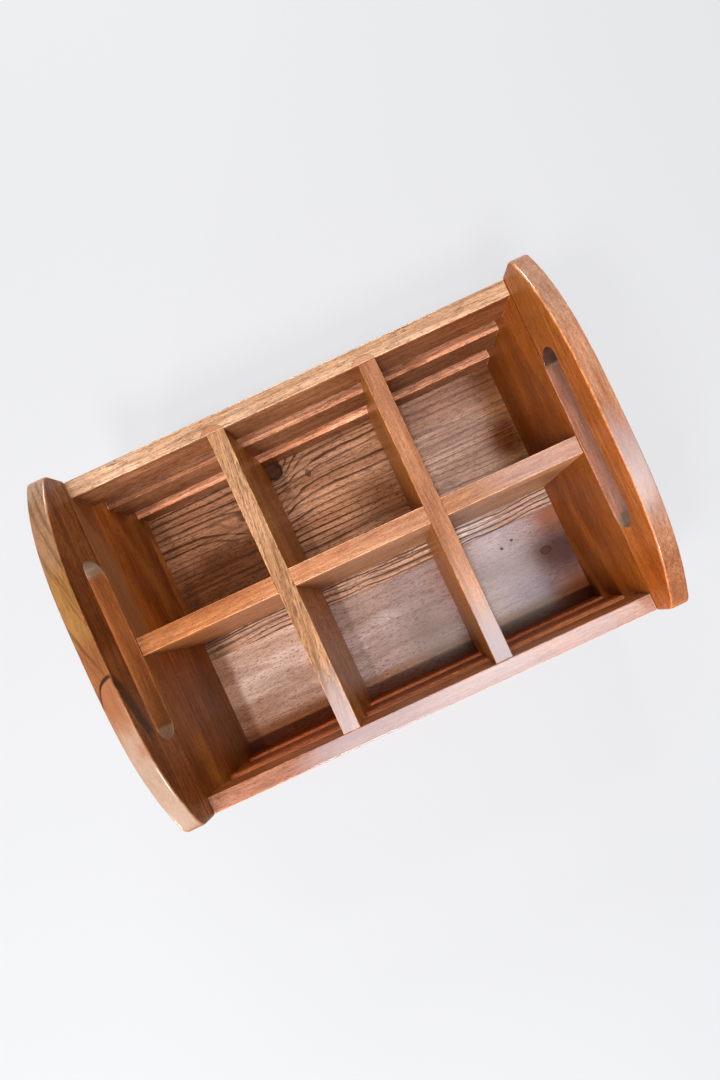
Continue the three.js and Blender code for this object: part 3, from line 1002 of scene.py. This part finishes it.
def slot_ends(face, front, back):
    """End grain in the round ends of a hand slot."""
    radius, straight, middle_z = hand_slot()
    mouth = sizes().slot_round
    fibres = face.grey(face.plus(face.speckle((1400, 300, 300), 2.0), 0.5))
    above = face.minus(face.z, middle_z)
    for way, name in ((-1, front), (1, back)):
        beyond = face.scaled(face.y, way, -straight)
        inside = face.step(face.distance(beyond, above), radius + mouth, radius + 0.6 * mouth)
        mask = face.times(inside, face.step(beyond, 0.0, 0.45 * radius))
        face.paint(mask, face.tinted(shade(name), fibres))


def left_end_tones(face):
    """The left end board: a painted band of light along its top, painted shade lower down and towards the
    front, and a painted strip of bluish light above the floor in the back cells.
    """
    height = face.scaled(face.speckle((9, 9, 60), 3.0, 0.5), 12 * MM, face.z)
    # The body mixed towards a paler grey: the painted band of light.
    grey = face.mix(0.65, face.colour, shade("left_end_light_band"))
    # A pale bluish copy of the body: painted light on the strip above the floor.
    pale = face.stained_or_lit((0.9, 1.05, 1.25))
    # Painted shade towards the front.
    painted_shade_front = face.ramp(face.y, 20, -50)
    face.stain_or_light(painted_shade_front, (0.52, 0.53, 0.5))
    # Painted shade lower down.
    dark_foot = face.ramp(height, 74, 52)
    face.stain_or_light(dark_foot, (0.62, 0.64, 0.62))
    upright = face.step(face.facing_z, 0.7, 0.3)
    face.paint(face.times(face.ramp(height, 84, 92), upright, face.ramp(face.y, -30, 10)), grey)
    face.paint(face.times(face.ramp(height, 25.5, 24), face.back_row()), pale)
    slot_ends(face, "left_slot_end", "left_slot_end")


def left_handle_heart(face, y, grit):
    """The heartwood of the left handle's top: grey, olive and brown from the back, with a painted sheen at
    its back tip and slanted veins.
    """
    heart = shade("left_handle_grey")
    for mask, name in ((face.ramp(y, 62, 44), "left_handle_olive"),
                       (face.ramp(y, 18, 2), "left_handle_brown"),
                       # Painted sheen at the back tip.
                       (face.times(face.ramp(y, 90, 108), 0.8), "left_handle_pale_and_sheen")):
        heart = face.mix(mask, heart, shade(name))
    heart = face.mix(0.85, face.colour, face.tinted(heart, grit))
    slanted = face.join(face.scaled(y, 0.25, face.x), y, 0.0)
    veins = face.step(face.noise(slanted, (420, 14, 1), 3.0, 0.6), 0.5, 0.64)
    return face.mix(face.times(veins, 0.7), heart, face.tinted(heart, (0.5, 0.42, 0.32, 1.0)))


def left_handle_tones(face):
    """The left handle board: pale sapwood at the front, paler still towards its tip with a painted sheen,
    parted from brown heartwood by a dark vein.
    """
    y = face.plus(face.y, face.cloud((90, 90, 90), 5 * MM, 2.0, 0.5))
    grit = face.grey(face.scaled(face.speckle((900, 60, 900), 3.0, 0.7), 1.6, 0.2))
    # Paler towards the front: pale sapwood with a painted sheen on it.
    paler = face.ramp(face.plus(y, face.cloud((90, 45, 90), 70 * MM)), -30, -70)
    sap = face.mix(paler, shade("left_handle_sap"), shade("left_handle_pale_and_sheen"))
    sap = face.tinted(sap, face.mix(0.5, grit, (1, 1, 1, 1)))
    depth = face.minus(face.math("ABSOLUTE", face.x), INNER_X)
    lean = face.math("POWER", face.math("DIVIDE", depth, END_THICKNESS, clamp=True), 4.0)
    border = face.scaled(lean, 18 * MM, y)
    crown = face.mix(face.ramp(border, -13, -14.5), left_handle_heart(face, y, grit), sap)
    from_vein = face.math("ABSOLUTE", face.plus(border, 14 * MM))
    crown = face.mix(face.ramp(from_vein, 1.8, 0.5), crown, shade("left_handle_grain"))
    fall = face.scaled(y, -0.3, face.minus(face.z, 147.4 * MM))
    streak = face.times(face.ramp(fall, 1, -1), face.ramp(fall, -9, -5),
                        face.ramp(y, -12, -18), face.ramp(y, -54, -48), 0.85)
    face.paint(streak, shade("left_handle_grain"))
    face.paint(face.upward, crown)
    slot_ends(face, "left_slot_end", "left_slot_end")


def right_end_tones(face):
    """The right end board: painted shade lower down, with a dark line along the back of its glued seam."""
    height = face.scaled(face.speckle((14, 14, 40), 3.0, 0.5), 24 * MM, face.z)
    # Painted shade lower down.
    dark_foot = face.ramp(height, 82, 44)
    face.stain_or_light(dark_foot, (0.7, 0.66, 0.6))
    line = face.step(face.z, SEAM_Z - 0.9 * MM, SEAM_Z - 0.4 * MM)
    face.paint(face.times(line, face.ramp(face.y, 52, 60)), shade("right_end_grain"))
    slot_ends(face, "right_slot_front", "right_slot_back_shaded")


def right_handle_tones(face):
    """The right handle board: a painted sheen on the crown, browner towards the front, cooler towards the
    back.
    """
    y = face.plus(face.y, face.cloud((60, 25, 60), 30 * MM))
    face.stain_or_light(face.ramp(y, -64, -88), (0.8, 0.66, 0.52))
    face.stain_or_light(face.ramp(y, 40, 70), (0.86, 0.94, 1.0))
    # Painted sheen on the crown.
    middle = face.times(face.ramp(y, -70, -35), face.ramp(y, 8, -20))
    face.painted_sheen(face.times(middle, 0.7))
    slot_ends(face, "right_slot_front", "right_slot_back_shaded")


# Pieces


class CADDY_OT_end_boards(bpy.types.Operator):
    """Model the two end boards, housed for the long divider and skimmed by the hand slot"""

    bl_idname = "caddy.end_boards"
    bl_label = "End boards"

    looks = {
        "left": Look(ring=0.15, vein=0.2, streak=0.15, pore=0.25, coat=0.4),
        "right": Look(ring=0.15, vein=0.15, streak=0.1, pore=0.15, coat=0.3),
    }
    tones = {"left": left_end_tones, "right": right_end_tones}

    def execute(self, context):
        size = sizes()
        for number, end in enumerate(ENDS):
            node = f"{end}_end_board"
            low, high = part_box(node)
            board = block(f"{end}_end", low, high)
            round_edges(board, size.seam_round, 2, lambda edge: lies_at(edge, high.z))
            round_edges(board, size.board_round, 3, lambda edge: lies_at(edge, low.z)
                        or run(edge, Z) > (high.z - low.z) / 2)
            inner_x = -INNER_X if end == "left" else INNER_X
            roof = WALL_TOP - size.housing_stop + size.joint_gap
            housing = bar("housing", (inner_x, 0, FLOOR_TOP), UP, roof - FLOOR_TOP,
                          LONG_HALF + size.joint_gap)
            cut(board, housing, hand_slot_cutter(low.x, high.x), *handle_dowel_bores(end),
                *slat_dowel_bores(end), floor_groove())
            finish = wood(f"{end}_end_wood", f"{end}_end", "y", CUT_FROM["end"] + number, self.looks[end],
                          self.tones[end])
            finish_piece(board, node, finish)
        return {"FINISHED"}


class CADDY_OT_handle_boards(bpy.types.Operator):
    """Model the two arched handle boards with their hand slots"""

    bl_idname = "caddy.handle_boards"
    bl_label = "Handle boards"

    look = Look(streak=0.26, pore=0.42, arched=True)
    tones = {"left": left_handle_tones, "right": right_handle_tones}

    def execute(self, context):
        size = sizes()
        shoulder = CROWN_Z - size.arch_rise
        for number, end in enumerate(ENDS):
            node = f"{end}_handle_board"
            low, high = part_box(node)
            board = block(f"{end}_handle", low, (high.x, high.y, shoulder))
            stations = [low.y + (high.y - low.y) * i / ARCH_COLUMNS for i in range(1, ARCH_COLUMNS)]
            for station in stations:
                slice_through(board, Y, station)
            for station in stations:
                rise = size.arch_rise * (1 - abs(station / high.y) ** 3)
                choose(board, "VERT", lambda vertex: near(vertex.co.y, station)
                       and vertex.co.z > shoulder - MM)
                bpy.ops.transform.translate(value=(0, 0, rise))
            leave()
            round_edges(board, size.shoulder_round, 4, lambda edge: lies_at(edge, shoulder)
                        and all(near(abs(vertex.co.y), high.y) for vertex in edge.verts))
            self.round_faces(board, size.seam_round, 2, lambda edge: lies_at(edge, low.z))
            self.round_faces(board, size.arch_round, 4, lambda edge: any(
                vertex.co.z >= low.z + 2 * size.seam_round for vertex in edge.verts))
            cut(board, hand_slot_cutter(low.x, high.x), *handle_dowel_bores(end))
            finish = wood(f"{end}_handle_wood", f"{end}_handle", "y", CUT_FROM["handle"] + number, self.look,
                          self.tones[end])
            finish_piece(board, node, finish)
        return {"FINISHED"}

    def round_faces(self, board, radius, segments, test):
        """Rounds those sharp edges round the two broad faces that pass a test."""
        round_edges(board, radius, segments, lambda edge: near(run(edge, X), 0)
                    and edge.calc_face_angle(0) > SHARP_TURN and test(edge))


class CADDY_OT_slats(bpy.types.Operator):
    """Model the slats of the two long walls, housed for the cross dividers"""

    bl_idname = "caddy.slats"
    bl_label = "Slats"

    streaks = {"front": 0.28, "back": 0.55}
    tones = {"front": front_slat_tones, "back": back_slat_tones}

    def execute(self, context):
        for number, side in enumerate(SIDES):
            for row, level in enumerate(LEVELS):
                node = f"{side}_{level}_slat"
                slat = self.slat(node, side, level)
                look = Look(streak=self.streaks[side], pore=0.5, coat=1.0 if level == "top" else 0.0)
                finish = wood(
                    f"{node}_wood", f"{side}_slat", "x", CUT_FROM["slat"] + number * len(LEVELS) + row, look,
                    lambda face: self.tones[side](face, level),
                    # The ledges of the lower slats take their own painted lit colour on the faces that look
                    # up.
                    top=None if level == "top" else f"{side}_ledge",
                )
                finish_piece(slat, node, finish)
        return {"FINISHED"}

    def slat(self, node, side, level):
        """A slat with its housings and bores, and the floor's groove in the lowest one."""
        size = sizes()
        low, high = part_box(node)
        slat = block(f"{side}_{level}", low, high)
        round_edges(slat, size.slat_round, 3, lambda edge: near(run(edge, X), high.x - low.x))
        inner_y = INNER_Y if side == "back" else -INNER_Y
        foot = FLOOR_TOP if level == "bottom" else low.z - size.slat_round
        roof = high.z + size.slat_round
        if level == "top":
            roof = high.z - size.housing_stop + size.joint_gap
        for x in (-CROSS_X, CROSS_X):
            cut(slat, bar("housing", (x, inner_y, foot), UP, roof - foot, CROSS_HALF + size.joint_gap))
        for end in ENDS:
            cut(slat, *slat_dowel_bores(end, (side,), (level,)))
        if level == "bottom":
            cut(slat, floor_groove())
        return slat


class CADDY_OT_dividers(bpy.types.Operator):
    """Model the three dividers, with round housed tongues, halved over each other"""

    bl_idname = "caddy.dividers"
    bl_label = "Dividers"

    cross_looks = {
        "left": Look(streak=0.55, pore=0.5, slant=7.0),
        "right": Look(ring=0.15, streak=0.12, vein=0.2, pore=0.15),
    }
    long_look = Look(streak=0.35, vein=0.35, pore=0.4)

    def execute(self, context):
        gap = sizes().joint_gap
        middle_z = (FLOOR_TOP + WALL_TOP) / 2
        for number, end in enumerate(ENDS):
            node = f"{end}_cross_divider"
            low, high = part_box(node)
            board = self.tongued(f"{end}_cross", low, high, Y, INNER_Y)
            cut(board, block("lap", (low.x - gap, -LONG_HALF - gap, low.z - gap),
                             (high.x + gap, LONG_HALF + gap, middle_z)))
            finish = wood(f"{end}_cross_wood", f"{end}_cross", "y", CUT_FROM["cross"] + number,
                          self.cross_looks[end], lambda face: cross_divider_tones(face, end))
            finish_piece(board, node, finish)
        low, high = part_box("long_divider")
        board = self.tongued("long", low, high, X, INNER_X)
        for x in (-CROSS_X, CROSS_X):
            cut(board, block("lap", (x - CROSS_HALF - gap, low.y - gap, middle_z - gap),
                             (x + CROSS_HALF + gap, high.y + gap, high.z + gap)))
        finish = wood("long_wood", "long_divider", "x", CUT_FROM["long"], self.long_look, long_divider_tones)
        finish_piece(board, "long_divider", finish)
        return {"FINISHED"}

    def tongued(self, name, low, high, axis, wall):
        """A board with round ends, cut square above the tongues that stand in the walls."""
        size = sizes()
        across = 1 - axis
        radius = (high[across] - low[across]) / 2
        foot = Vector(((low.x + high.x) / 2, (low.y + high.y) / 2, low.z))
        board = bar(name, foot, UP, high.z - low.z, radius)
        stretch_apart(board, axis, (high[axis] - low[axis]) / 2 - radius)
        stop = size.housing_stop
        shoulder = wall - size.joint_gap
        for way in (-1, 1):
            far_corner = Vector((low.x - stop, low.y - stop, high.z - stop))
            near_corner = Vector((high.x + stop, high.y + stop, high.z + size.joint_gap))
            if way > 0:
                far_corner[axis] = shoulder
            else:
                near_corner[axis] = -shoulder
            cut(board, block("shoulder", far_corner, near_corner))
        round_edges(board, size.divider_round, 3, lambda edge: lies_at(edge, high.z))
        return board


class CADDY_OT_floor(bpy.types.Operator):
    """Model the two floor boards with their tongues"""

    bl_idname = "caddy.floor"
    bl_label = "Floor boards"

    looks = {
        "front": Look(rings=90.0, wander=5.0, vein=0.06, streak=0.08, pore=0.75, fibre=0.45, coat=0.7),
        "back": Look(rings=180.0, wander=3.0, ring=0.9, vein=0.5, streak=0.25, pore=0.6, fibre=1.2, coat=0.3),
    }
    knots = {
        "front": (Knot(130, -52, 4.5, 3.0, 1.5, 0.95), Knot(98.5, -36.5, 1.3, 1.2, 0.0, 1.0),
                  Knot(108.5, -33.5, 1.2, 1.1, 0.0, 1.0)),
        "back": (Knot(-43, 97, 9.0, 8.0, 3.0), Knot(-16.6, 83.9, 2.0, 3.0, 0.35, 0.7),
                 Knot(-68, 65, 16.0, 9.0, 3.0, 0.0)),
    }
    tones = {"front": front_floor_tones, "back": back_floor_tones}

    def execute(self, context):
        for number, side in enumerate(SIDES):
            board = self.board(side, 1 if side == "back" else -1)
            finish = wood(f"{side}_floor_wood", f"{side}_floor", "x", CUT_FROM["floor"] + number,
                          self.looks[side], self.tones[side], self.knots[side],
                          calm=calm_smoke if side == "back" else None)
            finish_piece(board, f"{side}_floor_board", finish)
        return {"FINISHED"}

    def board(self, side, way):
        """A board from the floor's seam to its wall, with tongues drawn out of its three other edges."""
        size = sizes()
        wall_y = way * (INNER_Y - size.joint_gap)
        low_y, high_y = sorted((FLOOR_SEAM_Y, wall_y))
        reach = INNER_X - size.joint_gap
        board = block(f"{side}_floor", (-reach, low_y, 0), (reach, high_y, FLOOR_TOP))
        for level in (size.tongue_bottom, size.tongue_top):
            slice_through(board, Z, level)
        middle = (size.tongue_bottom + size.tongue_top) / 2
        for axis, edge_at, push in ((X, reach, TONGUE_X - reach), (X, -reach, reach - TONGUE_X),
                                    (Y, wall_y, way * (TONGUE_Y - abs(wall_y)))):
            choose(board, "FACE", lambda face: near(face.calc_center_median()[axis], edge_at)
                   and near(face.calc_center_median().z, middle))
            push_out(axis, push)
        leave()
        round_edges(board, size.seam_round, 2, lambda edge: lies_at(edge, FLOOR_TOP)
                    and all(near(vertex.co.y, FLOOR_SEAM_Y) for vertex in edge.verts))
        return board


class CADDY_OT_dowels(bpy.types.Operator):
    """Give the hidden dowels their bare wood"""

    bl_idname = "caddy.dowels"
    bl_label = "Dowels"

    def execute(self, context):
        lying = wood("lying_dowel_wood", "dowel", "x", CUT_FROM["lying_dowel"], Look())
        standing = wood("standing_dowel_wood", "dowel", "y", CUT_FROM["standing_dowel"], Look())
        for name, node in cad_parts.items():
            if name.endswith("_dowel"):
                node.data.materials.clear()
                node.data.materials.append(standing if "handle" in name else lying)
        return {"FINISHED"}


# Stage


@dataclass
class Lamp:
    """A soft lamp: where it hangs, what it points at, its width, depth, power and colour."""

    name: str
    place: tuple
    target: tuple
    width: float
    depth: float
    power: float
    colour: tuple = (1, 1, 1)
    in_polish: bool = True


LAMPS = (
    Lamp("key", (0.02, -0.42, 3.0), (0, 0, 0.05), 0.3, 0.06, 35, in_polish=False),
    Lamp("side_key", (-0.43, -0.42, 3.0), (0, 0, 0.05), 0.08, 0.06, 27, in_polish=False),
    Lamp("soft_panel", (0.45, -0.22, 1.5), (0.45, -0.22, 0.0), 1.0, 0.4, 3.5, (1.0, 0.93, 0.85)),
    Lamp("side_fill", (-0.8, -0.4, 1.15), (0, 0, 0.08), 0.3, 0.3, 9, in_polish=False),
    Lamp("front_fill", (-0.35, -1.0, 1.4), (0, 0, 0.08), 0.35, 0.35, 16),
    Lamp("low_fill", (-1.1, -1.1, 0.42), (0, 0, 0.08), 0.12, 0.08, 7),
    Lamp("back_fill", (0.1, 1.5, 0.7), (0, 0.1, 0.06), 0.8, 0.3, 16),
)
ROOM_COLOUR = (1.0, 0.88, 0.76, 1.0)
ROOM_STRENGTH = 0.1
BACKDROP_SIZE = 6.0
PAPER_SHARE = 0.51
GLOW_SHARE = 0.55
CAMERA_PLACE = (0.01241, -0.04589, 0.4141)
CAMERA_RIGHT = (0.9076, -0.4199, -0.0056)
CAMERA_BACK = (0.0011, -0.0110, 0.9999)
CAMERA_SENSOR = 36.0
CAMERA_LENS = 16.85
CAMERA_SHIFT = (-0.0425, 0.0554)


def facing(right, back):
    """A turn from the way that a lamp's or a camera's right side points and the way that it backs."""
    back = Vector(back).normalized()
    up = back.cross(Vector(right)).normalized()
    return Matrix((up.cross(back), up, back)).transposed().to_4x4()


def hang(lamp):
    light = bpy.data.lights.new(lamp.name, "AREA")
    light.shape = "RECTANGLE"
    light.size = lamp.width
    light.size_y = lamp.depth
    light.energy = lamp.power
    light.color = lamp.colour
    hung = bpy.data.objects.new(lamp.name, light)
    back = Vector(lamp.place) - Vector(lamp.target)
    right = (1, 0, 0) if abs(back.x) < abs(back.y) + abs(back.z) else (0, -1, 0)
    hung.matrix_world = Matrix.Translation(lamp.place) @ facing(right, back)
    hung.visible_glossy = lamp.in_polish
    bpy.context.scene.collection.objects.link(hung)


def backdrop_paper():
    """Pale paper that keeps the shadow, and glows a little towards the camera and in the polish."""
    material = bpy.data.materials.new("backdrop_paper")
    material.use_nodes = True
    draw = Drawing(material.node_tree)
    shader = material.node_tree.nodes["Principled BSDF"]
    paper = colours().backdrop
    shader.inputs["Base Color"].default_value = (*(PAPER_SHARE * channel for channel in paper), 1.0)
    shader.inputs["Roughness"].default_value = 0.9
    glow = draw.node("ShaderNodeEmission")
    glow.inputs["Color"].default_value = (*paper, 1.0)
    rays = draw.node("ShaderNodeLightPath")
    seen = draw.math("MAXIMUM", rays.outputs["Is Camera Ray"], rays.outputs["Is Glossy Ray"])
    blend = draw.node("ShaderNodeMixShader")
    draw.put(draw.times(seen, GLOW_SHARE), blend.inputs[0])
    draw.put(shader.outputs[0], blend.inputs[1])
    draw.put(glow.outputs[0], blend.inputs[2])
    draw.put(blend.outputs[0], material.node_tree.nodes["Material Output"].inputs["Surface"])
    return material


class CADDY_OT_stage(bpy.types.Operator):
    """Set up the pale floor, the soft lights and the camera that looks down into the cells"""

    bl_idname = "caddy.stage"
    bl_label = "Stage"

    def execute(self, context):
        deselect()
        bpy.ops.mesh.primitive_plane_add(size=BACKDROP_SIZE)
        floor = settle("backdrop_floor")
        floor.data.materials.append(backdrop_paper())

        world = bpy.data.worlds.new("studio")
        world.use_nodes = True
        room = world.node_tree.nodes["Background"]
        room.inputs["Color"].default_value = ROOM_COLOUR
        room.inputs["Strength"].default_value = ROOM_STRENGTH
        context.scene.world = world
        for lamp in LAMPS:
            hang(lamp)

        camera_data = bpy.data.cameras.new("photo_camera")
        camera_data.sensor_width = CAMERA_SENSOR
        camera_data.lens = CAMERA_LENS
        camera_data.shift_x, camera_data.shift_y = CAMERA_SHIFT
        camera = bpy.data.objects.new("photo_camera", camera_data)
        camera.matrix_world = Matrix.Translation(CAMERA_PLACE) @ facing(CAMERA_RIGHT, CAMERA_BACK)
        context.scene.collection.objects.link(camera)
        context.scene.camera = camera
        context.scene.view_settings.view_transform = "Standard"
        return {"FINISHED"}


class CADDY_PT_panel(bpy.types.Panel):
    """Lists the steps that build the caddy, its sizes and its colours"""

    bl_idname = "CADDY_PT_panel"
    bl_label = "Glassware caddy"
    bl_space_type = "VIEW_3D"
    bl_region_type = "UI"
    bl_category = "Caddy"

    def draw(self, context):
        for operator in OPERATORS:
            self.layout.operator(operator.bl_idname)
        for group in (context.scene.caddy_sizes, context.scene.caddy_colours):
            for name in group.__annotations__:
                self.layout.prop(group, name)


OPERATORS = (
    CADDY_OT_end_boards,
    CADDY_OT_handle_boards,
    CADDY_OT_slats,
    CADDY_OT_dividers,
    CADDY_OT_floor,
    CADDY_OT_dowels,
    CADDY_OT_stage,
)
CLASSES = (CaddySizes, CaddyColours, *OPERATORS, CADDY_PT_panel)


def register():
    for cls in CLASSES:
        bpy.utils.register_class(cls)
    bpy.types.Scene.caddy_sizes = bpy.props.PointerProperty(type=CaddySizes)
    bpy.types.Scene.caddy_colours = bpy.props.PointerProperty(type=CaddyColours)


def unregister():
    del bpy.types.Scene.caddy_colours
    del bpy.types.Scene.caddy_sizes
    for cls in reversed(CLASSES):
        bpy.utils.unregister_class(cls)


def main():
    register()
    bpy.ops.caddy.end_boards()
    bpy.ops.caddy.handle_boards()
    bpy.ops.caddy.slats()
    bpy.ops.caddy.dividers()
    bpy.ops.caddy.floor()
    bpy.ops.caddy.dowels()
    bpy.ops.caddy.stage()


if __name__ == "__main__":
    main()
